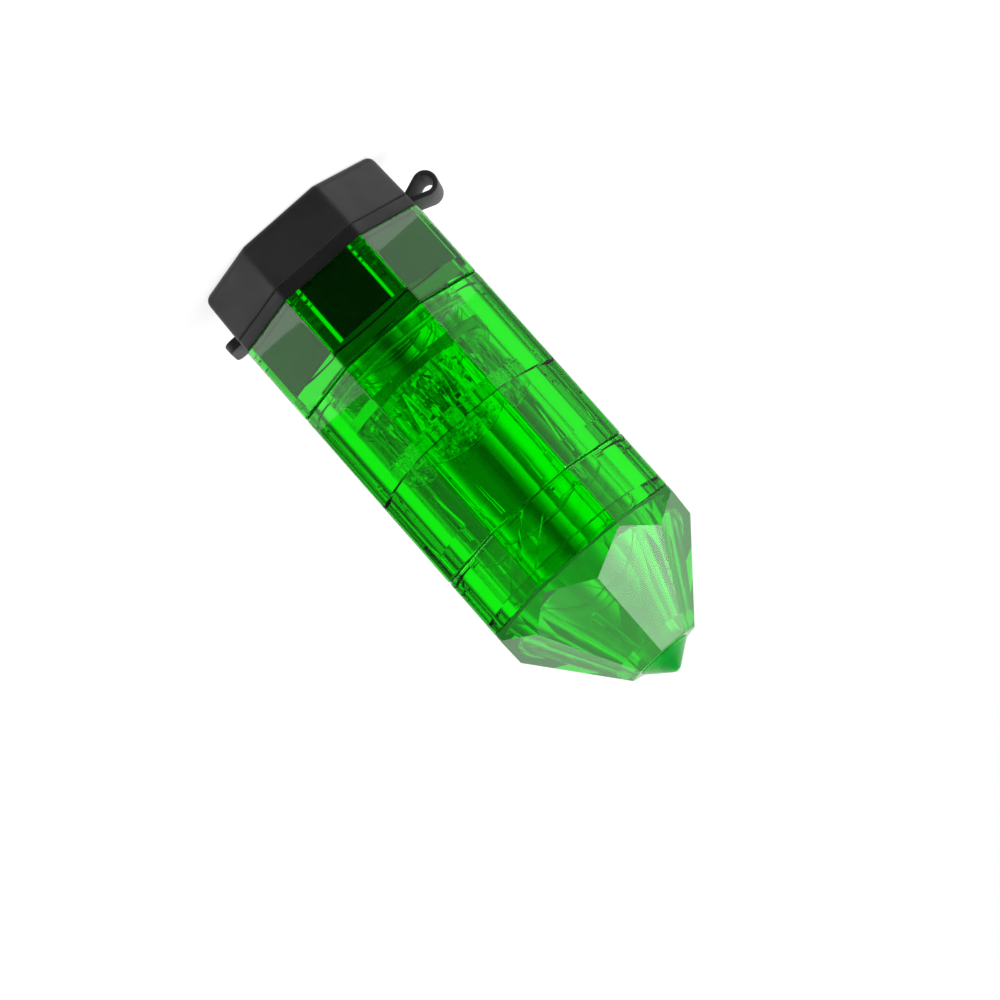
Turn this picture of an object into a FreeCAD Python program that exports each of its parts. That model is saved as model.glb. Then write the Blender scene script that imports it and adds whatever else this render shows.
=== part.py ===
import FreeCAD, Part
import math
import os

# Pencil-shaped twist grinder, standing on its lid with the tip up. Millimetres.
# The origin is the centre of the lid's flat top, and +Z runs along the axis towards the tip.
# The strap is on the -X side and the thumb tab on the +X side.

# Barrel section: an octagon with four main facets on the X and Y axes and four on the diagonals
facets = 8
across_flats = 36.0
main_facet_width = 15.6
corner_round = 1.4
edge_round = 0.35

# Lengths along the axis, from the lid to the tip
lid_height = 8.9
flange_height = 2.3
chamber_height = 14.5
barrel_height = 34.65
ring_height = 11.15
funnel_height = 19.1
tip_height = 3.2

# Gaps and fits
lid_gap = 0.1
seam_gap = 0.15
turning_clearance = 0.1
seat_clearance = 0.05
plug_clearance = 0.1

# Rubber lid, strap and liner
rubber_inset = 0.15
lid_top_round = 1.5
stopper_depth = 2.0
stopper_clearance = 0.25
tab_length = 2.4
tab_width = 9.0
tab_thickness = 1.75
tab_corner_round = 1.5
strap_width = 9.0
strap_thickness = 1.07
strap_neck_gap = 0.2
strap_loop_height = 3.8
strap_reach = 5.65
liner_wall = 1.25
liner_clearance = 0.15
liner_outer_round = 0.3
liner_inner_round = 1.0
stopper_round = 0.8

# Head: stash chamber and toothed cup
chamber_wall = 2.2
cavity_facet_width = 10.0
cavity_corner_round = 0.4
chamber_floor = 2.7
cup_seat_depth = 1.2
cup_wall = 2.2
cup_length = 8.6
upper_plate_thickness = 2.1

# Friction ring round the toothed cup
grip_section = 1.0
grip_offset = 3.4
grip_clearance = 0.05

# Teeth of both plates stand on alternating circles
grinding_gap = 7.8
tooth_tip_clearance = 0.8
tooth_base_width = 4.6
tooth_base_depth = 3.0
tooth_tip_share = 0.1
tooth_sink = 0.3
outer_tooth_circle = 12.2
tooth_circle_step = 2.9
outer_teeth = 9
lower_outer_phase = 10.0
lower_inner_teeth = 6
upper_inner_teeth = 4

# Lower toothed plate
lower_plate_thickness = 2.6
plate_ledge = 1.25
key_width = 2.4
key_reach = 1.1
outer_hole_count = 8
outer_hole_diameter = 2.6
inner_hole_count = 4
inner_hole_diameter = 2.6

# Grinder barrel
grinding_bore = 28.9
collection_depth = 12.4
spigot_diameter = 30.0
spigot_bore = 24.8
spigot_length = 8.4
gusset_count = 8
gusset_height = 7.2
gusset_depth = 1.6
gusset_thickness = 1.0

# Bayonet: lugs in the ring, a level leg and a ramp in the spigot, angles from -Y towards +X
lug_count = 2
lug_height = 2.3
lug_width_angle = 13.0
lug_centre_angle = -23.0
lug_reach = 1.1
groove_depth = 1.3
groove_clearance = 0.15
groove_stop_angle = 1.0
leg_end_angle = 7.2
ramp_start_angle = -0.6
ramp_exit_start_angle = 26.0
ramp_exit_end_angle = 46.0
ring_floor_bore = 26.0

# Funnel and tip
funnel_rim = 1.0
mouth_corner_radius = 6.4
mouth_round = 0.6
lip_height = 1.3
lip_wall = 0.9
throat_radius = 6.7
throat_floor = 3.5
outlet_radius = 4.1
rib_count = 4
rib_width = 1.0
rib_depth = 0.8
rib_phase_angle = 22.5
rib_top_drop = 6.6
tip_base_radius = 4.75
tip_end_radius = 1.5
tip_gap = 0.1

# How closely an edge has to lie at a level, or along the axis, to count as there
level_tolerance = 0.01
upright_share = 0.99

# Levels of the stack
z_flange = lid_height + lid_gap
z_chamber = z_flange + flange_height
z_head_seam = z_chamber + chamber_height
z_barrel = z_head_seam + seam_gap
z_barrel_end = z_barrel + barrel_height
z_spigot_end = z_barrel_end + spigot_length
z_ring = z_barrel_end + seam_gap
z_funnel = z_ring + ring_height
z_mouth = z_funnel + funnel_height
z_cup = z_head_seam - cup_seat_depth
z_chamber_floor = z_cup - chamber_floor
z_liner_floor = z_chamber_floor - liner_clearance
z_upper_teeth = z_cup + cup_length
z_lower_plate = z_upper_teeth + grinding_gap
z_ledge = z_lower_plate + lower_plate_thickness
z_shoulder = z_ledge + collection_depth

half_flat = across_flats / 2
half_facet = main_facet_width / 2
rubber_half = half_flat - rubber_inset
cavity_half = half_flat - chamber_wall
cavity_half_facet = cavity_facet_width / 2
liner_half = cavity_half - liner_clearance
bore_radius = grinding_bore / 2
cup_radius = bore_radius - turning_clearance
ledge_radius = bore_radius - plate_ledge
plate_radius = bore_radius - seat_clearance
spigot_radius = spigot_diameter / 2
spigot_bore_radius = spigot_bore / 2
ring_bore_radius = spigot_radius + turning_clearance
ring_floor_radius = ring_floor_bore / 2
strap_loop_radius = strap_loop_height / 2
upper_outer_circle = outer_tooth_circle - tooth_circle_step
lower_inner_circle = upper_outer_circle - tooth_circle_step
upper_inner_circle = lower_inner_circle - tooth_circle_step
facet_angle = 2 * math.pi / facets
half_pitch = 180.0 / outer_teeth
upper_outer_phase = lower_outer_phase + half_pitch

Z = FreeCAD.Vector(0, 0, 1)
ORIGIN = FreeCAD.Vector(0, 0, 0)


def point(x, y, z=0.0):
    return FreeCAD.Vector(x, y, z)


def on_arc(z_centre, radius, angle):
    """Point of an arc in the XZ plane about a centre on the axis."""
    return point(radius * math.cos(angle), 0, z_centre + radius * math.sin(angle))


def barrel_side(half):
    """Half a main facet of the barrel's octagon, drawn in until its main facets lie at half from the axis."""
    return half_facet - (half_flat - half) * math.tan(facet_angle / 2)


def cavity_side(half):
    """Half a main facet of the stash cavity's octagon, drawn in likewise; its diagonal walls are thicker."""
    return cavity_half_facet - (cavity_half - half) * math.tan(facet_angle / 2)


def octagon_prism(half, side, z_low, z_high, round_radius):
    """Octagonal prism with main facets at half from the axis, whose upright edges are rounded."""
    corners = []
    for facet in range(0, facets, 2):
        cosine = math.cos(facet * facet_angle)
        sine = math.sin(facet * facet_angle)
        for y in (-side, side):
            corners.append(point(half * cosine - y * sine, half * sine + y * cosine, z_low))
    face = Part.Face(Part.makePolygon(corners + corners[:1]))
    prism = face.extrude(Z * (z_high - z_low))
    upright = [edge for edge in prism.Edges if abs(edge.tangentAt(edge.FirstParameter).z) > upright_share]
    return prism.makeFillet(round_radius, upright)


def barrel_prism(half, z_low, z_high):
    return octagon_prism(half, barrel_side(half), z_low, z_high, corner_round)


def cavity_prism(half, z_low, z_high, round_radius):
    return octagon_prism(half, cavity_side(half), z_low, z_high, round_radius)


def edges_at(shape, z):
    """Edges of a shape that lie flat at one level."""
    flat = []
    for edge in shape.Edges:
        box = edge.BoundBox
        if max(abs(box.ZMin - z), abs(box.ZMax - z)) < level_tolerance:
            flat.append(edge)
    return flat


def rounded_at(shape, radius, *levels):
    """The shape with the outline of its end faces rounded."""
    for z in levels:
        shape = shape.makeFillet(radius, edges_at(shape, z))
    return shape


def cylinder(radius, z_low, z_high):
    return Part.makeCylinder(radius, z_high - z_low, point(0, 0, z_low))


def tube(inner, outer, z_low, z_high):
    return cylinder(outer, z_low, z_high).cut(cylinder(inner, z_low, z_high))


def block(x_low, x_high, width, z_low, z_high):
    """Box centred on the X axis across Y."""
    return Part.makeBox(x_high - x_low, width, z_high - z_low, point(x_low, -width / 2, z_low))


def turned(shape, degrees):
    copy = shape.copy()
    copy.rotate(ORIGIN, Z, degrees)
    return copy


def around(shape, count, phase=0.0):
    """Evenly spaced copies of a shape about the axis."""
    return [turned(shape, phase + 360.0 * index / count) for index in range(count)]


def tooth(circle, z_base, z_tip):
    """Diamond spike on a circle about the axis, tapering from its plate nearly to a point."""
    foot = z_base - math.copysign(tooth_sink, z_tip - z_base)
    rings = []
    for share, z in ((1.0, foot), (tooth_tip_share, z_tip)):
        depth = share * tooth_base_depth / 2
        width = share * tooth_base_width / 2
        diamond = [point(circle + depth, 0, z), point(circle, width, z)]
        diamond += [point(circle - depth, 0, z), point(circle, -width, z)]
        rings.append(Part.makePolygon(diamond + diamond[:1]))
    return Part.makeLoft(rings, True, True)


def lid():
    """Rubber lid: rounded octagonal block, stopper on its inner side and thumb tab on its rim."""
    body = barrel_prism(rubber_half, 0, lid_height)
    body = rounded_at(body, lid_top_round, 0)
    stopper_half = liner_half - liner_wall - stopper_clearance
    z_root = lid_height - stopper_depth
    stopper = cavity_prism(stopper_half, z_root, lid_height + stopper_depth, stopper_round)
    tab = block(half_facet, rubber_half + tab_length, tab_width, lid_height - tab_thickness, lid_height)
    outer = []
    for edge in tab.Edges:
        box = edge.BoundBox
        if box.XMin > rubber_half and box.ZLength > box.YLength:
            outer.append(edge)
    return body.fuse([stopper, tab.makeFillet(tab_corner_round, outer)]).removeSplitter()


def teardrop(half_neck, radius, y):
    """Face of the folded strap, seen along Y: a narrow neck at the rim that swells into a round loop."""
    z_seam = z_flange - lid_gap / 2
    loop_x = -rubber_half - strap_reach + strap_loop_radius
    neck_x = -rubber_half
    run = neck_x - loop_x
    rise = half_neck
    tilt = math.atan2(rise, run)
    swing = math.acos(radius / math.hypot(run, rise))
    tangent = tilt + swing
    tangent_x = loop_x + radius * math.cos(tangent)
    tangent_z = radius * math.sin(tangent)
    upper = point(tangent_x, y, z_seam + tangent_z)
    lower = point(tangent_x, y, z_seam - tangent_z)
    neck_upper = point(neck_x, y, z_seam + half_neck)
    neck_lower = point(neck_x, y, z_seam - half_neck)
    bulge = Part.Arc(upper, point(loop_x - radius, y, z_seam), lower).toShape()
    sides = [Part.makeLine(neck_upper, upper), bulge, Part.makeLine(lower, neck_lower)]
    return Part.Face(Part.Wire(sides + [Part.makeLine(neck_lower, neck_upper)]))


def lid_strap():
    """Folded rubber strap, a living hinge between the lid's rim and the liner's flange."""
    half_neck = strap_neck_gap / 2 + strap_thickness
    band = teardrop(half_neck, strap_loop_radius, -strap_width / 2)
    fold = teardrop(strap_neck_gap / 2, strap_loop_radius - strap_thickness, -strap_width / 2)
    return band.cut(fold).extrude(point(0, strap_width, 0)).Solids[0]


def stash_cup():
    """Rubber liner: a flange that shows as the collar, and an octagonal cup inside the chamber."""
    flange = barrel_prism(rubber_half, z_flange, z_chamber)
    cup = cavity_prism(liner_half, z_flange, z_liner_floor, liner_outer_round)
    hollow = cavity_prism(liner_half - liner_wall, z_flange, z_liner_floor - liner_wall, liner_inner_round)
    return flange.fuse(cup).cut(hollow).removeSplitter()


def stash_chamber():
    """Green head: octagonal cup with a thick floor and a round seat below it for the toothed cup."""
    shell = barrel_prism(half_flat, z_chamber, z_head_seam)
    shell = rounded_at(shell, edge_round, z_chamber, z_head_seam)
    hollow = cavity_prism(cavity_half, z_chamber, z_chamber_floor, cavity_corner_round)
    seat = cylinder(cup_radius + seat_clearance, z_cup, z_head_seam)
    return shell.cut([hollow, seat])


def upper_tooth_cup():
    """Hollow round spigot under the head, closed by a plate that carries the upper teeth."""
    cup = cylinder(cup_radius, z_cup, z_upper_teeth)
    hollow = cylinder(cup_radius - cup_wall, z_cup, z_upper_teeth - upper_plate_thickness)
    groove_half = grip_section / 2 + grip_clearance
    z_grip = z_cup + grip_offset
    groove_floor = cup_radius - grip_section
    groove = tube(groove_floor, cup_radius + grip_section, z_grip - groove_half, z_grip + groove_half)
    z_tip = z_lower_plate - tooth_tip_clearance
    teeth = around(tooth(upper_outer_circle, z_upper_teeth, z_tip), outer_teeth, upper_outer_phase)
    teeth += around(tooth(upper_inner_circle, z_upper_teeth, z_tip), upper_inner_teeth)
    return cup.cut([hollow, groove]).fuse(teeth).removeSplitter()


def grip_ring():
    """Thin round ring in the spigot's groove that grips the bore."""
    radius = grip_section / 2
    centre = cup_radius - grip_section + grip_clearance + radius
    return Part.makeTorus(centre, radius, point(0, 0, z_cup + grip_offset))


def key(clearance):
    """One key of the barrel, or with a clearance its notch in the plate's rim."""
    inner = bore_radius - key_reach - clearance
    return block(inner, cavity_half, key_width + 2 * clearance, z_lower_plate, z_ledge)


def lower_tooth_plate():
    """Plate with upward teeth, drop holes and a notched rim that the barrel's keys hold from turning."""
    plate = cylinder(plate_radius, z_lower_plate, z_ledge)
    cuts = around(key(seat_clearance), outer_teeth, upper_outer_phase)
    for circle, count, diameter in (
        (upper_outer_circle, outer_hole_count, outer_hole_diameter),
        (upper_inner_circle, inner_hole_count, inner_hole_diameter),
    ):
        hole = Part.makeCylinder(diameter / 2, lower_plate_thickness, point(circle, 0, z_lower_plate))
        cuts += around(hole, count)
    z_tip = z_upper_teeth + tooth_tip_clearance
    teeth = around(tooth(outer_tooth_circle, z_lower_plate, z_tip), outer_teeth, lower_outer_phase)
    teeth += around(tooth(lower_inner_circle, z_lower_plate, z_tip), lower_inner_teeth)
    return plate.cut(cuts).fuse(teeth).removeSplitter()


def gusset():
    """Three-cornered rib that stands on the shoulder inside the collection chamber."""
    outer = ledge_radius + plate_ledge
    inner = ledge_radius - gusset_depth
    z_top = z_shoulder - gusset_height
    corners = [point(inner, 0, z_shoulder), point(outer, 0, z_shoulder)]
    corners += [point(outer, 0, z_top), point(ledge_radius, 0, z_top)]
    face = Part.Face(Part.makePolygon(corners + corners[:1]))
    face.translate(point(0, -gusset_thickness / 2, 0))
    return face.extrude(point(0, gusset_thickness, 0))


def bayonet_groove():
    """One groove of the spigot: a level leg under the shoulder, then a ramp out to the spigot's end."""
    middle = (lug_centre_angle + ramp_exit_end_angle) / 2
    stop = lug_centre_angle - lug_width_angle / 2 - groove_stop_angle
    z_leg = z_ring + lug_height + 2 * groove_clearance
    outline = []
    for angle, z in (
        (stop, z_barrel_end),
        (leg_end_angle, z_barrel_end),
        (ramp_exit_end_angle, z_spigot_end),
        (ramp_exit_start_angle, z_spigot_end),
        (ramp_start_angle, z_leg),
        (stop, z_leg),
    ):
        outline.append(point(spigot_radius * math.sin(math.radians(angle - middle)), 0, z))
    slab = Part.Face(Part.makePolygon(outline + outline[:1])).extrude(point(0, -ring_bore_radius, 0))
    shell = tube(spigot_radius - groove_depth, ring_bore_radius, z_barrel_end, z_spigot_end)
    return turned(slab.common(shell), middle)


def grinder_body():
    """Green barrel: grinding bore, plate ledge with keys, collection chamber, and the grooved spigot."""
    shell = barrel_prism(half_flat, z_barrel, z_barrel_end)
    shell = rounded_at(shell, edge_round, z_barrel, z_barrel_end)
    barrel = shell.fuse(cylinder(spigot_radius, z_barrel_end, z_spigot_end))
    hollows = [
        cylinder(bore_radius, z_barrel, z_ledge),
        cylinder(ledge_radius, z_ledge, z_shoulder),
        cylinder(spigot_bore_radius, z_shoulder, z_spigot_end),
    ]
    barrel = barrel.cut(hollows + around(bayonet_groove(), lug_count))
    keys = around(key(0.0), outer_teeth, upper_outer_phase)
    return barrel.fuse(keys + around(gusset(), gusset_count)).removeSplitter()


def lug():
    """One inward lug of the bayonet ring."""
    inner = ring_bore_radius - lug_reach
    outer = (half_flat + ring_bore_radius) / 2
    z_low = z_ring + groove_clearance
    ring = tube(inner, outer, z_low, z_low + lug_height)
    start = math.radians(-lug_width_angle / 2)
    end = -start
    wedge = [ORIGIN, point(across_flats * math.sin(start), -across_flats * math.cos(start))]
    wedge.append(point(across_flats * math.sin(end), -across_flats * math.cos(end)))
    sector = Part.Face(Part.makePolygon(wedge + wedge[:1])).extrude(Z * z_funnel)
    return turned(ring.common(sector), lug_centre_angle)


def bayonet_ring():
    """Green octagonal ring that slips over the spigot and locks with its lugs."""
    shell = barrel_prism(half_flat, z_ring, z_funnel)
    shell = rounded_at(shell, edge_round, z_ring, z_funnel)
    socket = cylinder(ring_bore_radius, z_ring, z_spigot_end + seam_gap)
    floor_hole = cylinder(ring_floor_radius, z_ring, z_funnel)
    return shell.cut([socket, floor_hole]).fuse(around(lug(), lug_count)).removeSplitter()


def pyramid():
    """Eight-sided pyramid turned by half a facet, whose facets meet the barrel's corners above the rim."""
    apothem_share = math.cos(facet_angle / 2)
    corner_reach = math.hypot(half_flat, half_facet)
    peak_radius = corner_reach / apothem_share
    z_peak = z_funnel + funnel_rim
    slope = (peak_radius - mouth_corner_radius) / (z_mouth - z_peak)
    foot_radius = peak_radius + slope * funnel_rim
    rings = []
    for radius, z in ((foot_radius, z_funnel), (mouth_corner_radius, z_mouth)):
        corners = []
        for facet in range(facets):
            turn = facet * facet_angle
            corners.append(point(radius * math.cos(turn), radius * math.sin(turn), z))
        rings.append(Part.makePolygon(corners + corners[:1]))
    return Part.makeLoft(rings, True, True)


def throat_cone(inset, z_low):
    """Tapered inside of the funnel, drawn in by an inset, from a level to the throat's floor."""
    z_floor = z_mouth - throat_floor
    top_radius = ring_floor_radius - seat_clearance - lip_wall
    share = (z_low - z_funnel) / (z_floor - z_funnel)
    radius = top_radius + (throat_radius - top_radius) * share
    return Part.makeCone(radius - inset, throat_radius - inset, z_floor - z_low, point(0, 0, z_low))


def funnel():
    """Green pointed funnel: pyramid outside, tapered throat with ribs inside, and a round outlet."""
    prism = barrel_prism(half_flat, z_funnel, z_mouth)
    body = prism.common(pyramid())
    body = rounded_at(body, mouth_round, z_mouth)
    z_lip = z_funnel - lip_height
    lip_radius = ring_floor_radius - seat_clearance
    lip = cylinder(lip_radius, z_lip, z_funnel)
    inside = [cylinder(lip_radius - lip_wall, z_lip, z_funnel), throat_cone(0, z_funnel)]
    inside.append(cylinder(outlet_radius, z_mouth - throat_floor, z_mouth))
    z_rib = z_funnel + rib_top_drop
    slab = block(0, across_flats, rib_width, z_rib, z_mouth - throat_floor)
    rib_zone = throat_cone(-rib_depth, z_rib).cut(throat_cone(rib_depth, z_rib))
    ribs = around(slab.common(rib_zone), rib_count, rib_phase_angle)
    return body.fuse(lip).cut(inside).fuse(ribs).removeSplitter()


def tip_plug():
    """Dark green pointed plug: a shank in the outlet and a cone with a rounded point."""
    z_base = z_mouth + tip_gap
    z_end = z_base + tip_height
    shank_radius = outlet_radius - plug_clearance
    run = tip_base_radius
    rise = tip_height - tip_end_radius
    touch_angle = math.acos(tip_end_radius / math.hypot(run, rise)) - math.atan2(rise, run)
    centre_z = z_end - tip_end_radius
    touch = on_arc(centre_z, tip_end_radius, touch_angle)
    crown = on_arc(centre_z, tip_end_radius, (touch_angle + math.pi / 2) / 2)
    foot = point(0, 0, z_mouth - throat_floor)
    corners = [foot, foot + point(shank_radius, 0), point(shank_radius, 0, z_base)]
    corners += [point(tip_base_radius, 0, z_base), touch]
    sides = [Part.makeLine(start, end) for start, end in zip(corners, corners[1:])]
    apex = point(0, 0, z_end)
    sides += [Part.Arc(touch, crown, apex).toShape(), Part.makeLine(apex, foot)]
    return Part.Face(Part.Wire(sides)).revolve(ORIGIN, Z, 360)


def main():
    os.makedirs("parts", exist_ok=True)
    pieces = (
        lid,
        lid_strap,
        stash_cup,
        stash_chamber,
        upper_tooth_cup,
        grip_ring,
        grinder_body,
        lower_tooth_plate,
        bayonet_ring,
        funnel,
        tip_plug,
    )
    for piece in pieces:
        shape = piece()
        name = piece.__name__
        shape.exportStep(f"parts/{name}.step")
        print(name, shape.isValid(), len(shape.Solids), round(shape.Volume, 2))


main()
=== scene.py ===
"""Looks of a pencil-shaped twist grinder: clear green moulded plastic with a black rubber flip lid.

The grinder stands on its lid with the tip up. The scene is in metres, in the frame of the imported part; the
sizes of the new pieces are given in millimetres.
"""

import math

import bmesh
import bpy
import numpy as np
from mathutils import Matrix, Vector


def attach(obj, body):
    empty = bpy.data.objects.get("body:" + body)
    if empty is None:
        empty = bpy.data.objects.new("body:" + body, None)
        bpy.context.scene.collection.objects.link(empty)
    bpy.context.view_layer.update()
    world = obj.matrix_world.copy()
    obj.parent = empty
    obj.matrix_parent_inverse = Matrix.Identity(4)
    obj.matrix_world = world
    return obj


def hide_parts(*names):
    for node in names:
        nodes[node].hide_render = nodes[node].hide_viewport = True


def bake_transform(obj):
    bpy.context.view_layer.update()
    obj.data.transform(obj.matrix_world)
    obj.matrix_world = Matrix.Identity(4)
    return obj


MM = 0.001

# Octagons of the barrel and of the stash cavity: main facet from the axis, half a main facet. Millimetres.
FACETS = 8
BARREL_OCTAGON = (18.0, 7.8)
BARREL_CORNER = 1.4
CAVITY_OCTAGON = (15.8, 5.0)

# Rubber lid, liner and strap. Millimetres.
RUBBER_HALF = 17.85
RUBBER_EDGE_ROUND = 0.25
LID_HEIGHT = 8.9
LID_TOP_HALF = 17.6
LID_TOP_ROUND = 1.5
LID_DRAFT = 0.035
LID_CORNER_DRAW = 0.6
LID_CORNER_LEAST = 0.5
STOPPER_HALF = 14.15
STOPPER_DEPTH = 2.0
STOPPER_ROUND = 0.35
STOPPER_CORNER = 0.8
TAB_LENGTH = 2.4
TAB_ROOT = 3.2
TAB_THICKNESS = 1.75
TAB_CORNER = 1.5
TAB_EDGE_ROUND = 0.35
FLANGE_TOP = 9.0
FLANGE_END = 11.24
LINER_HALF = 15.65
LINER_WALL = 1.25
LINER_FLOOR = 21.75
LINER_FLOOR_ROUND = 0.5
LINER_INNER_CORNER = 1.0
LINER_OUTER_CORNER = 0.3
STRAP_WIDTH = 9.0
STRAP_THICKNESS = 0.85
STRAP_EDGE_ROUND = 0.25
STRAP_ROOT = 0.25
LOOP_RADIUS = 2.15
LOOP_CENTRE_OUT = 3.5
NECK_HALF = 0.95
SEAM_LEVEL = 8.95

# Fold of the strap: the angle about the loop's centre where it starts
FOLD_START = math.radians(100)

# Gate mark on the apex of the tip. Millimetres.
GATE_RADIUS = 0.4
GATE_FOOT = 93.9
GATE_TOP = 94.42
GATE_ROUND = 0.1

# How finely the new pieces are divided, and how far from a rounded edge a flat gets its outermost points
CORNER_POINTS = 7
ROUND_POINTS = 6
LOOP_POINTS = 33
RUN_POINTS = 8
ARM_POINTS = 5
FLAT_POINTS = (0.04, 0.5, 0.96)
EDGE_SUPPORT = 0.3
MERGE_DISTANCE = 0.0001

# Surface patterns of plastic and rubber: width and depth of what repeats
RIPPLE_WIDTH = 9 * MM
RIPPLE_DEPTH = 0.4 * MM
GRAIN_WIDTH = 0.15 * MM
GRAIN_DEPTH = 0.03 * MM
BLOOM_WIDTH = 7 * MM
POLYSTYRENE_IOR = 1.57
SILICONE_IOR = 1.42

# Camera, as found from the seams of the barrel in a picture of 1000 by 1000 pixels
PICTURE_PIXELS = 1000
FOCAL_PIXELS = 3852
SENSOR_WIDTH = 36.0
CAMERA_DISTANCE = 618 * MM
CAMERA_ELEVATION = math.radians(8.28)
CAMERA_AZIMUTH = math.radians(0.08)
CAMERA_ROLL = math.radians(41.48)
AIM_HEIGHT = 43.5 * MM
AIM_RIGHT = 5.04 * MM
AIM_DOWN = 10.69 * MM
NEAREST_SEEN = 10 * MM

FLOOR_SIZE = 12.0
FLOOR_GLOW = 0.75

# White room as seen directly, and as mirrored: from dim to bright as a direction's share along +Y grows
ROOM_LIGHT = 1.0
ROOM_IN_FRONT = 0.01
ROOM_BEHIND = 0.9
DIM_SHARE = 0.05
BRIGHT_SHARE = 0.75

# Upright strip lights as they are seen through the plastic, and the dim gaps between them
STRIP_LIGHTS = 2
STRIP_GAP = 0.08
STRIP_EDGE = 0.2
STRIP_TURN = math.radians(-160)

# Soft boxes: places and sizes in metres, radiance as a share of white. The strap's side comes first.
# Three stand one above another on each side, between four levels.
SIDE_BOX_OUT = 0.24
SIDE_BOX_WIDTH = 0.4
SIDE_BOX_EDGES = (-0.116, -0.035, -0.0138, 0.484)
LOW_BOX_RADIANCE = 2.2
MIDDLE_BOX_RADIANCE = 1.0
TALL_BOX_RADIANCES = (0.5, 0.1)
FACET_BOX_OUT = 0.25
FACET_BOX_FORWARD = 0.1
FACET_BOX_HEIGHT = 0.5
FACET_BOX_AIM_HEIGHT = 0.08
FACET_BOX_SIZE = (0.25, 0.25)
PALE_FACET_RADIANCE = 4.5
DIM_FACET_RADIANCE = 0.7

# Clear walls in a row need many bounces before light gets through them
LIGHT_BOUNCES = 32


def linear(hex_colour):
    """An sRGB hex colour as linear red, green, blue and alpha."""
    channels = [int(hex_colour[place : place + 2], 16) / 255 for place in (1, 3, 5)]
    return [c / 12.92 if c <= 0.04045 else ((c + 0.055) / 1.055) ** 2.4 for c in channels] + [1.0]


def add(tree, kind, values=None, links=None, **settings):
    """Adds one node, sets its properties and input values, and links its inputs from other sockets."""
    node = tree.nodes.new(kind)
    for name, value in settings.items():
        setattr(node, name, value)
    for name, value in (values or {}).items():
        node.inputs[name].default_value = value
    for name, socket in (links or {}).items():
        tree.links.new(socket, node.inputs[name])
    return node


def new_material(name):
    """An empty node material and its output node."""
    material = bpy.data.materials.new(name)
    material.use_nodes = True
    tree = material.node_tree
    tree.nodes.clear()
    return material, tree, add(tree, "ShaderNodeOutputMaterial")


def clear_moulded_plastic(name, tint, absorption, roughness, surface="#fbfffb", clearness=1.0):
    """Polystyrene, injection moulded in polished tools.

    The eye sees sharp reflections, a faint ripple from shrinkage, and a colour that deepens with the way that
    light runs through the piece. Less clearness gives it a milky share in the surface's own colour.
    """
    material, tree, output = new_material(name)
    place = add(tree, "ShaderNodeTexCoord").outputs["Object"]
    ripple = add(
        tree,
        "ShaderNodeTexNoise",
        {"Scale": 1 / RIPPLE_WIDTH, "Detail": 2.0, "Roughness": 0.4},
        {"Vector": place},
    )
    bump = add(
        tree,
        "ShaderNodeBump",
        {"Strength": 0.02, "Distance": RIPPLE_DEPTH},
        {"Height": ripple.outputs["Fac"]},
    )
    shader = add(
        tree,
        "ShaderNodeBsdfPrincipled",
        {
            "Base Color": linear(surface),
            "Roughness": roughness,
            "IOR": POLYSTYRENE_IOR,
            "Transmission Weight": clearness,
        },
        {"Normal": bump.outputs["Normal"]},
    )
    depth = add(tree, "ShaderNodeVolumeAbsorption", {"Color": linear(tint), "Density": absorption})
    tree.links.new(shader.outputs["BSDF"], output.inputs["Surface"])
    tree.links.new(depth.outputs["Volume"], output.inputs["Volume"])
    return material


def black_rubber(name, dark, pale):
    """Silicone rubber, moulded in a blasted tool.

    The eye sees a matt, nearly black surface with a fine grain, whose dusty bloom drifts between two shades.
    """
    material, tree, output = new_material(name)
    place = add(tree, "ShaderNodeTexCoord").outputs["Object"]
    grain = add(tree, "ShaderNodeTexNoise", {"Scale": 1 / GRAIN_WIDTH, "Detail": 3.0}, {"Vector": place})
    bloom = add(tree, "ShaderNodeTexNoise", {"Scale": 1 / BLOOM_WIDTH, "Detail": 4.0}, {"Vector": place})
    colour = add(tree, "ShaderNodeValToRGB", links={"Fac": bloom.outputs["Fac"]})
    colour.color_ramp.elements[0].color = linear(dark)
    colour.color_ramp.elements[1].color = linear(pale)
    rough = add(
        tree,
        "ShaderNodeMapRange",
        {"From Min": 0.3, "From Max": 0.7, "To Min": 0.5, "To Max": 0.66},
        {"Value": bloom.outputs["Fac"]},
    )
    bump = add(
        tree,
        "ShaderNodeBump",
        {"Strength": 0.2, "Distance": GRAIN_DEPTH},
        {"Height": grain.outputs["Fac"]},
    )
    shader = add(
        tree,
        "ShaderNodeBsdfPrincipled",
        {"IOR": SILICONE_IOR, "Sheen Weight": 0.12, "Sheen Roughness": 0.5},
        {
            "Base Color": colour.outputs["Color"],
            "Roughness": rough.outputs["Result"],
            "Normal": bump.outputs["Normal"],
        },
    )
    tree.links.new(shader.outputs["BSDF"], output.inputs["Surface"])
    return material


def strip_lights(tree, place):
    """Brightness of a ring of upright strip lights, with dim gaps between, in the direction of a place."""
    parts = add(tree, "ShaderNodeSeparateXYZ", links={"Vector": place})
    turn = add(tree, "ShaderNodeMath", operation="ARCTAN2")
    tree.links.new(parts.outputs["Y"], turn.inputs[0])
    tree.links.new(parts.outputs["X"], turn.inputs[1])
    times = add(
        tree,
        "ShaderNodeMath",
        {1: STRIP_LIGHTS, 2: STRIP_TURN},
        {0: turn.outputs["Value"]},
        operation="MULTIPLY_ADD",
    )
    wave = add(tree, "ShaderNodeMath", links={0: times.outputs["Value"]}, operation="COSINE")
    level = add(
        tree,
        "ShaderNodeMapRange",
        {"From Min": 1.0, "From Max": STRIP_EDGE, "To Min": STRIP_GAP, "To Max": ROOM_LIGHT},
        {"Value": wave.outputs["Value"]},
        interpolation_type="SMOOTHSTEP",
    )
    return parts, level.outputs["Result"]


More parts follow.
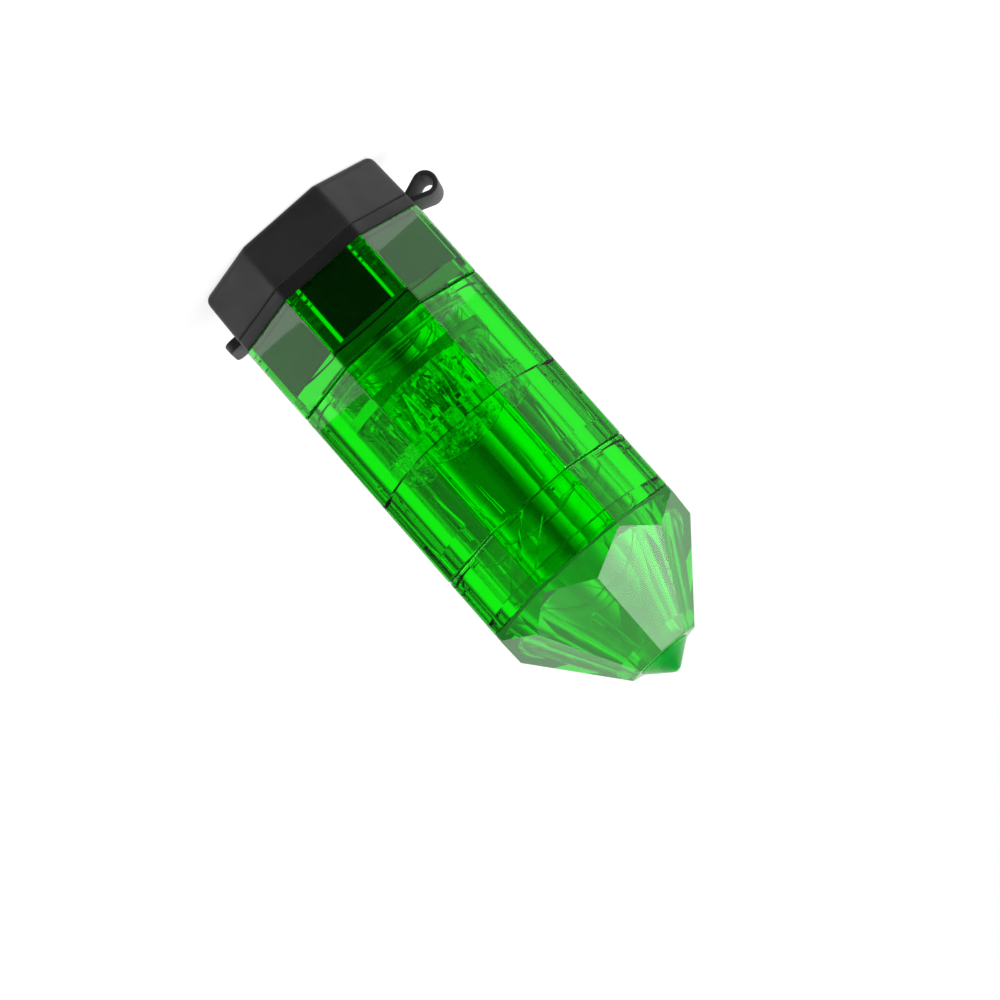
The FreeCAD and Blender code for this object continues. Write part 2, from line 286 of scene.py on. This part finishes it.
def pale_floor_paint():
    """White matt paint, rolled on; it glows a little to stay pale, and through plastic it shows strips."""
    material, tree, output = new_material("pale_floor_paint")
    path = add(tree, "ShaderNodeLightPath")
    place = add(tree, "ShaderNodeTexCoord").outputs["Object"]
    glow = add(tree, "ShaderNodeEmission", {"Color": linear("#ffffff"), "Strength": FLOOR_GLOW})
    paint = add(tree, "ShaderNodeBsdfDiffuse", {"Color": linear("#9a9a9a")})
    both = add(tree, "ShaderNodeAddShader", links={0: glow.outputs["Emission"], 1: paint.outputs["BSDF"]})
    strips = add(
        tree,
        "ShaderNodeEmission",
        {"Color": linear("#ffffff")},
        {"Strength": strip_lights(tree, place)[1]},
    )
    seen = add(
        tree,
        "ShaderNodeMixShader",
        links={
            0: path.outputs["Is Transmission Ray"],
            1: both.outputs["Shader"],
            2: strips.outputs["Emission"],
        },
    )
    tree.links.new(seen.outputs["Shader"], output.inputs["Surface"])
    return material


def dress(node, material):
    """Gives a CAD node's object one material."""
    mesh = node.data
    mesh.materials.clear()
    mesh.materials.append(material)


def skin(name, *stacks):
    """A mesh of closed surfaces, each through a stack of rings of points that is closed at both ends.

    Quads join neighbouring points of neighbouring rings; each end ring is drawn together to its own middle.
    """
    points, quads, used = [], [], 0
    for rings in stacks:
        count = rings.shape[1]
        ends = [rings[place].mean(axis=0)[None, None].repeat(count, axis=1) for place in (0, -1)]
        rows = np.concatenate([ends[0], rings, ends[1]])
        index = used + np.arange(rows.shape[0] * count).reshape(-1, count)
        index = np.hstack([index, index[:, :1]])
        quads.append(np.stack([index[:-1, :-1], index[:-1, 1:], index[1:, 1:], index[1:, :-1]], axis=-1))
        points.append(rows.reshape(-1, 3))
        used += rows.shape[0] * count
    mesh = bpy.data.meshes.new(name)
    corners = np.concatenate([part.reshape(-1, 4) for part in quads])
    mesh.from_pydata(np.concatenate(points) * MM, [], corners.tolist())
    work = bmesh.new()
    work.from_mesh(mesh)
    bmesh.ops.remove_doubles(work, verts=work.verts, dist=MERGE_DISTANCE * MM)
    bmesh.ops.recalc_face_normals(work, faces=work.faces)
    work.to_mesh(mesh)
    work.free()
    mesh.shade_smooth()
    piece = bpy.data.objects.new(name, mesh)
    bpy.context.scene.collection.objects.link(piece)
    return piece


def octagon_rings(half, level, wide, cornering):
    """Rings of a rounded octagon: main facets at half from the axis, at the given levels.

    Half a main facet is that of the widest ring, less the inset times the tangent of 22.5 degrees. Each of
    the eight corners is an arc of 45 degrees about a centre that lies inside along the corner's bisector, and
    each flat has points close to its ends, so that it stays flat in shading.
    """
    half, level, cornering = np.broadcast_arrays(*(np.asarray(a, float) for a in (half, level, cornering)))
    wide_half, wide_side = wide
    side = wide_side - (wide_half - half) * math.tan(math.pi / FACETS)
    start = math.pi / 4 * (np.arange(FACETS) - 1)
    quarter = math.pi / 2 * (np.arange(FACETS) // 2)
    across = side[:, None] * np.where(np.arange(FACETS) % 2, 1, -1)
    corner = np.stack(
        [
            half[:, None] * np.cos(quarter) - across * np.sin(quarter),
            half[:, None] * np.sin(quarter) + across * np.cos(quarter),
        ],
        axis=-1,
    )
    bisector = start + math.pi / 8
    reach = cornering[:, None, None] / math.cos(math.pi / 8)
    centre = corner - reach * np.stack([np.cos(bisector), np.sin(bisector)], axis=-1)
    turn = start[:, None] + np.linspace(0, math.pi / 4, CORNER_POINTS)
    spokes = np.stack([np.cos(turn), np.sin(turn)], axis=-1)
    arcs = centre[:, :, None] + cornering[:, None, None, None] * spokes
    share = np.array(FLAT_POINTS)[:, None]
    flats = arcs[:, :, -1:] * (1 - share) + np.roll(arcs, -1, axis=1)[:, :, :1] * share
    outline = np.concatenate([arcs, flats], axis=2).reshape(len(half), -1, 2)
    return np.dstack([outline, level[:, None].repeat(outline.shape[1], axis=1)])


def rounded_box_rings(x_low, x_high, half_width, cornering, inset, level):
    """Rings of a rounded rectangle, each drawn in by its inset, at the given levels."""
    turn = np.linspace(0, 2 * math.pi, 4 * CORNER_POINTS, endpoint=False).reshape(4, -1)
    turn = turn[:, :1] + np.linspace(0, math.pi / 2, CORNER_POINTS)
    centre_x = np.array([x_high - cornering, x_low + cornering, x_low + cornering, x_high - cornering])
    centre_y = (half_width - cornering) * np.array([1, 1, -1, -1])
    radius = (cornering - np.asarray(inset))[:, None]
    x = (centre_x[:, None] + 0 * turn).ravel() + radius * np.cos(turn).ravel()
    y = (centre_y[:, None] + 0 * turn).ravel() + radius * np.sin(turn).ravel()
    return np.stack([x, y, np.asarray(level)[:, None] + 0 * x], axis=-1)


def quarter_round(from_half, to_half, from_level, to_level, outward_first):
    """Half-widths and levels of a quarter circle between two points of a profile."""
    turn = np.linspace(0, math.pi / 2, ROUND_POINTS)
    early, late = (np.sin(turn), 1 - np.cos(turn)) if outward_first else (1 - np.cos(turn), np.sin(turn))
    return np.stack([from_half + (to_half - from_half) * early, from_level + (to_level - from_level) * late])


def rubber_lid(rubber):
    """Lid: a drafted octagonal block with a rounded top edge, its stopper below, and a thumb tab at +X.

    A profile of half-widths and levels is carried round rounded octagons; the tab is a rounded box.
    """
    top = quarter_round(LID_TOP_HALF - LID_TOP_ROUND, LID_TOP_HALF, 0, LID_TOP_ROUND, True)
    rim_low = LID_HEIGHT - RUBBER_EDGE_ROUND
    rim = quarter_round(RUBBER_HALF, RUBBER_HALF - RUBBER_EDGE_ROUND, rim_low, LID_HEIGHT, False)
    inner = RUBBER_HALF - RUBBER_EDGE_ROUND - EDGE_SUPPORT
    block = np.hstack(
        [
            [[top[0, 0] - EDGE_SUPPORT], [0]],
            top,
            [[LID_TOP_HALF + LID_DRAFT * EDGE_SUPPORT], [LID_TOP_ROUND + EDGE_SUPPORT]],
            [[RUBBER_HALF], [rim_low - EDGE_SUPPORT]],
            rim,
            [[inner], [LID_HEIGHT]],
        ]
    )
    cornering = np.clip(BARREL_CORNER - LID_CORNER_DRAW * (LID_TOP_HALF - block[0]), LID_CORNER_LEAST, None)
    body = octagon_rings(block[0], block[1], BARREL_OCTAGON, cornering)
    end = LID_HEIGHT + STOPPER_DEPTH
    nose = quarter_round(STOPPER_HALF, STOPPER_HALF - STOPPER_ROUND, end - STOPPER_ROUND, end, False)
    plug = np.hstack(
        [[[STOPPER_HALF + STOPPER_ROUND], [LID_HEIGHT]], [[STOPPER_HALF], [LID_HEIGHT + STOPPER_ROUND]], nose]
    )
    stopper = octagon_rings(plug[0], plug[1], CAVITY_OCTAGON, STOPPER_CORNER)
    tab_level = LID_HEIGHT - TAB_THICKNESS
    low = quarter_round(TAB_EDGE_ROUND, 0, tab_level, tab_level + TAB_EDGE_ROUND, True)
    high = quarter_round(0, TAB_EDGE_ROUND, LID_HEIGHT - TAB_EDGE_ROUND, LID_HEIGHT, False)
    edge = np.hstack([low, high])
    tab = rounded_box_rings(
        RUBBER_HALF - TAB_ROOT, RUBBER_HALF + TAB_LENGTH, STRAP_WIDTH / 2, TAB_CORNER, edge[0], edge[1]
    )
    piece = skin("rubber_lid", np.concatenate([body, stopper]), tab)
    piece.data.materials.append(rubber)
    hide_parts("lid")
    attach(piece, "lid")


def rubber_liner(rubber):
    """Liner: an octagonal cup whose flange, with softly rounded edges, shows as the collar under the lid.

    One profile runs from the inner floor up the wall, over the flange and down the outside to the floor, and
    is carried round rounded octagons.
    """
    inner = LINER_HALF - LINER_WALL
    inner_floor = LINER_FLOOR - LINER_WALL
    inner_round = inner_floor - LINER_FLOOR_ROUND
    rim_round = FLANGE_TOP + RUBBER_EDGE_ROUND
    bowl = np.hstack(
        [
            [[inner - 2 * LINER_FLOOR_ROUND], [inner_floor]],
            quarter_round(inner - LINER_FLOOR_ROUND, inner, inner_floor, inner_round, True),
            quarter_round(inner, inner + RUBBER_EDGE_ROUND, rim_round, FLANGE_TOP, False),
        ]
    )
    outer = RUBBER_HALF - RUBBER_EDGE_ROUND
    collar = np.hstack(
        [
            [[outer - EDGE_SUPPORT], [FLANGE_TOP]],
            quarter_round(outer, RUBBER_HALF, FLANGE_TOP, rim_round, True),
            quarter_round(RUBBER_HALF, outer, FLANGE_END - RUBBER_EDGE_ROUND, FLANGE_END, False),
            [[outer - EDGE_SUPPORT], [FLANGE_END]],
        ]
    )
    shell_round = LINER_FLOOR - LINER_FLOOR_ROUND
    shell = np.hstack(
        [
            [[LINER_HALF, LINER_HALF], [FLANGE_END, FLANGE_END + EDGE_SUPPORT]],
            quarter_round(LINER_HALF, LINER_HALF - LINER_FLOOR_ROUND, shell_round, LINER_FLOOR, False),
        ]
    )
    rings = [
        octagon_rings(bowl[0], bowl[1], CAVITY_OCTAGON, LINER_INNER_CORNER),
        octagon_rings(collar[0], collar[1], BARREL_OCTAGON, BARREL_CORNER),
        octagon_rings(shell[0], shell[1], CAVITY_OCTAGON, LINER_OUTER_CORNER),
    ]
    piece = skin("rubber_liner", np.concatenate(rings))
    piece.data.materials.append(rubber)
    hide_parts("stash_cup")
    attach(piece, "head")


def strap_band(name, rubber, middle, outward):
    """One stretch of the strap: a flat bar section with rounded edges, carried along a middle line.

    The line and its outward directions lie in the XZ plane, from the loop's centre; the width is along Y.
    """
    corner = np.linspace(0, math.pi / 2, CORNER_POINTS)
    turn = (corner + math.pi / 2 * np.arange(4)[:, None]).ravel()
    sign_y = np.repeat([1, -1, -1, 1], CORNER_POINTS)
    sign_out = np.repeat([1, 1, -1, -1], CORNER_POINTS)
    across = sign_y * (STRAP_WIDTH / 2 - STRAP_EDGE_ROUND) + STRAP_EDGE_ROUND * np.cos(turn)
    depth = sign_out * (STRAP_THICKNESS / 2 - STRAP_EDGE_ROUND) + STRAP_EDGE_ROUND * np.sin(turn)
    flat = middle[:, None] + outward[:, None] * depth[None, :, None]
    x = flat[..., 0] - RUBBER_HALF - LOOP_CENTRE_OUT
    piece = skin(name, np.stack([x, across + 0 * x, flat[..., 1] + SEAM_LEVEL], axis=-1))
    piece.data.materials.append(rubber)
    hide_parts("lid_strap")
    return piece


def rubber_strap(rubber):
    """Strap: a teardrop fold from the collar out and back to the lid, in two stiff arms and a fold between
    them.

    The middle line is a straight run that is tangent to an arc about the loop's centre, and its mirror image.
    """
    radius = LOOP_RADIUS - STRAP_THICKNESS / 2
    rise = NECK_HALF - STRAP_THICKNESS / 2
    tangent = math.atan2(rise, LOOP_CENTRE_OUT) + math.acos(radius / math.hypot(LOOP_CENTRE_OUT, rise))
    turn = np.linspace(tangent, FOLD_START, ARM_POINTS)
    turn = np.concatenate([np.full(RUN_POINTS, tangent), turn])
    outward = np.stack([np.cos(turn), np.sin(turn)], axis=-1)
    run_length = math.hypot(LOOP_CENTRE_OUT, rise) * math.sin(tangent - math.atan2(rise, LOOP_CENTRE_OUT))
    run = np.linspace(run_length + STRAP_ROOT, EDGE_SUPPORT, RUN_POINTS)
    back = np.concatenate([run, np.zeros(ARM_POINTS)])
    middle = radius * outward + back[:, None] * [math.sin(tangent), -math.cos(tangent)]
    mirror = np.array([1, -1])
    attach(strap_band("rubber_strap_collar_arm", rubber, middle, outward), "head")
    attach(strap_band("rubber_strap_lid_arm", rubber, middle * mirror, outward * mirror), "lid")
    turn = np.linspace(FOLD_START, 2 * math.pi - FOLD_START, LOOP_POINTS)
    outward = np.stack([np.cos(turn), np.sin(turn)], axis=-1)
    fold = strap_band("rubber_strap_fold", rubber, radius * outward, outward)
    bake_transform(fold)


def tip_gate_mark(plastic):
    """Gate mark: the short stub of a sheared-off runner, a rounded profile turned about the axis."""
    turn = np.linspace(0, 2 * math.pi, LOOP_POINTS, endpoint=False)
    edge = quarter_round(GATE_RADIUS, GATE_RADIUS - GATE_ROUND, GATE_TOP - GATE_ROUND, GATE_TOP, False)
    radius, level = np.hstack([[[GATE_RADIUS], [GATE_FOOT]], edge])[..., None]
    rings = np.stack([radius * np.cos(turn), radius * np.sin(turn), level + 0 * turn], axis=-1)
    piece = skin("tip_gate_mark", rings)
    piece.data.materials.append(plastic)
    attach(piece, "tip_plug")


def floor():
    """Flat square floor at the level of the lid's top."""
    reach = FLOOR_SIZE / 2
    mesh = bpy.data.meshes.new("floor")
    corners = [(-reach, -reach, 0), (reach, -reach, 0), (reach, reach, 0), (-reach, reach, 0)]
    mesh.from_pydata(corners, [], [(0, 1, 2, 3)])
    mesh.materials.append(pale_floor_paint())
    piece = bpy.data.objects.new("floor", mesh)
    piece.visible_glossy = False
    bpy.context.scene.collection.objects.link(piece)


def camera():
    """Camera at the picture's angle: turned about its own axis so that the tip points down to the right."""
    toward = Vector(
        (
            math.sin(CAMERA_AZIMUTH) * math.cos(CAMERA_ELEVATION),
            -math.cos(CAMERA_AZIMUTH) * math.cos(CAMERA_ELEVATION),
            math.sin(CAMERA_ELEVATION),
        )
    )
    level_right = Vector((-math.cos(CAMERA_AZIMUTH), -math.sin(CAMERA_AZIMUTH), 0))
    level_down = level_right.cross(toward)
    right = level_right * math.cos(CAMERA_ROLL) + level_down * math.sin(CAMERA_ROLL)
    down = level_down * math.cos(CAMERA_ROLL) - level_right * math.sin(CAMERA_ROLL)
    aim = Vector((0, 0, AIM_HEIGHT)) + right * AIM_RIGHT + down * AIM_DOWN
    data = bpy.data.cameras.new("camera")
    data.sensor_width = SENSOR_WIDTH
    data.lens = SENSOR_WIDTH * FOCAL_PIXELS / PICTURE_PIXELS
    data.clip_start = NEAREST_SEEN
    data.clip_end = FLOOR_SIZE * 2
    viewer = bpy.data.objects.new("camera", data)
    turn = Matrix((right, -down, toward)).transposed()
    viewer.matrix_world = Matrix.Translation(aim + toward * CAMERA_DISTANCE) @ turn.to_4x4()
    bpy.context.scene.collection.objects.link(viewer)
    bpy.context.scene.camera = viewer


def softbox(name, place, facing, size, radiance):
    """Rectangular area light of an even brightness: its power is its radiance times pi times its area."""
    data = bpy.data.lights.new(name, "AREA")
    data.shape = "RECTANGLE"
    data.size, data.size_y = size
    data.energy = radiance * math.pi * size[0] * size[1]
    lamp = bpy.data.objects.new(name, data)
    lamp.location = place
    lamp.rotation_euler = Vector(facing).to_track_quat("-Z", "Y").to_euler()
    lamp.visible_camera = False
    lamp.visible_transmission = False
    bpy.context.scene.collection.objects.link(lamp)


def studio():
    """White room, strip lights and soft boxes.

    Polished surfaces mirror the room as dark in front and bright behind. The strips show only through the
    plastic, and the soft boxes only in reflections and as light.
    """
    world = bpy.data.worlds.new("studio")
    world.use_nodes = True
    tree = world.node_tree
    path = add(tree, "ShaderNodeLightPath")
    mirrored = add(
        tree,
        "ShaderNodeMath",
        links={0: path.outputs["Is Glossy Ray"], 1: path.outputs["Is Reflection Ray"]},
        operation="MULTIPLY",
    )
    parts, strips = strip_lights(tree, add(tree, "ShaderNodeTexCoord").outputs["Generated"])
    behind = add(
        tree,
        "ShaderNodeMapRange",
        {"From Min": DIM_SHARE, "From Max": BRIGHT_SHARE, "To Min": ROOM_IN_FRONT, "To Max": ROOM_BEHIND},
        {"Value": parts.outputs["Y"]},
        interpolation_type="SMOOTHSTEP",
    )
    through = add(
        tree,
        "ShaderNodeMix",
        {"A": ROOM_LIGHT},
        {"Factor": path.outputs["Is Transmission Ray"], "B": strips},
    )
    room = add(
        tree,
        "ShaderNodeMix",
        links={
            "Factor": mirrored.outputs["Value"],
            "A": through.outputs["Result"],
            "B": behind.outputs["Result"],
        },
    )
    tree.links.new(room.outputs["Result"], tree.nodes["Background"].inputs["Strength"])
    tree.nodes["Background"].inputs["Color"].default_value = linear("#ffffff")
    bpy.context.scene.world = world
    for side, tall_radiance in zip((-1, 1), TALL_BOX_RADIANCES):
        names = ("low_softbox", "middle_softbox", "tall_softbox")
        radiances = (LOW_BOX_RADIANCE, MIDDLE_BOX_RADIANCE, tall_radiance)
        for name, low, high, radiance in zip(names, SIDE_BOX_EDGES, SIDE_BOX_EDGES[1:], radiances):
            place = (side * SIDE_BOX_OUT, 0, (low + high) / 2)
            softbox(name, place, (-side, 0, 0), (SIDE_BOX_WIDTH, high - low), radiance)
    facet_boxes = (
        ("pale_facet_softbox", -1, PALE_FACET_RADIANCE),
        ("dim_facet_softbox", 1, DIM_FACET_RADIANCE),
    )
    for name, side, radiance in facet_boxes:
        place = Vector((side * FACET_BOX_OUT, -FACET_BOX_FORWARD, FACET_BOX_HEIGHT))
        facing = Vector((0, 0, FACET_BOX_AIM_HEIGHT)) - place
        softbox(name, place, facing, FACET_BOX_SIZE, radiance)
    bpy.context.scene.view_settings.view_transform = "Standard"
    bpy.context.scene.cycles.max_bounces = LIGHT_BOUNCES
    bpy.context.scene.cycles.transmission_bounces = LIGHT_BOUNCES
    bpy.context.scene.cycles.glossy_bounces = LIGHT_BOUNCES


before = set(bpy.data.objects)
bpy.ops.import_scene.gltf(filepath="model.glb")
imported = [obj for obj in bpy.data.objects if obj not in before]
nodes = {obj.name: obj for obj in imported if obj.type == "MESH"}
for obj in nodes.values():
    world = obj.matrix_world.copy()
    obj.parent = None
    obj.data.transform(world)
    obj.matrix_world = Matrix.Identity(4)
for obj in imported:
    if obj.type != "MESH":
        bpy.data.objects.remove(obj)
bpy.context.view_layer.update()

# Rubber: the lid and strap have a dusty bloom; the liner is a darker copy of the same rubber, painted shade
# for its collar, which sits recessed under the lid
rubber = black_rubber("black_silicone_rubber", dark="#19181a", pale="#262527")
shaded_liner_rubber = black_rubber("black_silicone_rubber_painted_shade", dark="#0d0d0d", pale="#171716")

# Plastic: clear green for the body, hazier for the funnel, milky for the tip, and white at the torn-off gate
green = clear_moulded_plastic("clear_green_polystyrene", tint="#00fe00", absorption=1000, roughness=0.02)
hazy_green = clear_moulded_plastic(
    "clear_green_polystyrene_hazy",
    tint="#00fe00",
    absorption=1000,
    roughness=0.03,
    surface="#48f850",
    clearness=0.85,
)
dark_green = clear_moulded_plastic(
    "dark_green_polystyrene",
    tint="#20fa72",
    absorption=300,
    roughness=0.06,
    surface="#08ec4c",
    clearness=0.75,
)
whitened = clear_moulded_plastic(
    "stress_whitened_polystyrene",
    tint="#20fa72",
    absorption=300,
    roughness=0.5,
    surface="#b4e6b4",
    clearness=0.1,
)

# The hidden ring is nearly colourless silicone, moulded and lit like the plastic but dull
clear = clear_moulded_plastic("clear_silicone", tint="#f0fff0", absorption=20, roughness=0.2)

rubber_lid(rubber)
# The liner's darker rubber is painted shade for the recessed collar
rubber_liner(shaded_liner_rubber)
rubber_strap(rubber)
tip_gate_mark(whitened)

finishes = {
    "lid": rubber,
    "lid_strap": rubber,
    "stash_cup": rubber,
    "stash_chamber": green,
    "upper_tooth_cup": green,
    "grinder_body": green,
    "lower_tooth_plate": green,
    "bayonet_ring": green,
    "funnel": hazy_green,
    "tip_plug": dark_green,
    "grip_ring": clear,
}
for name, finish in finishes.items():
    dress(nodes[name], finish)

floor()
camera()
studio()
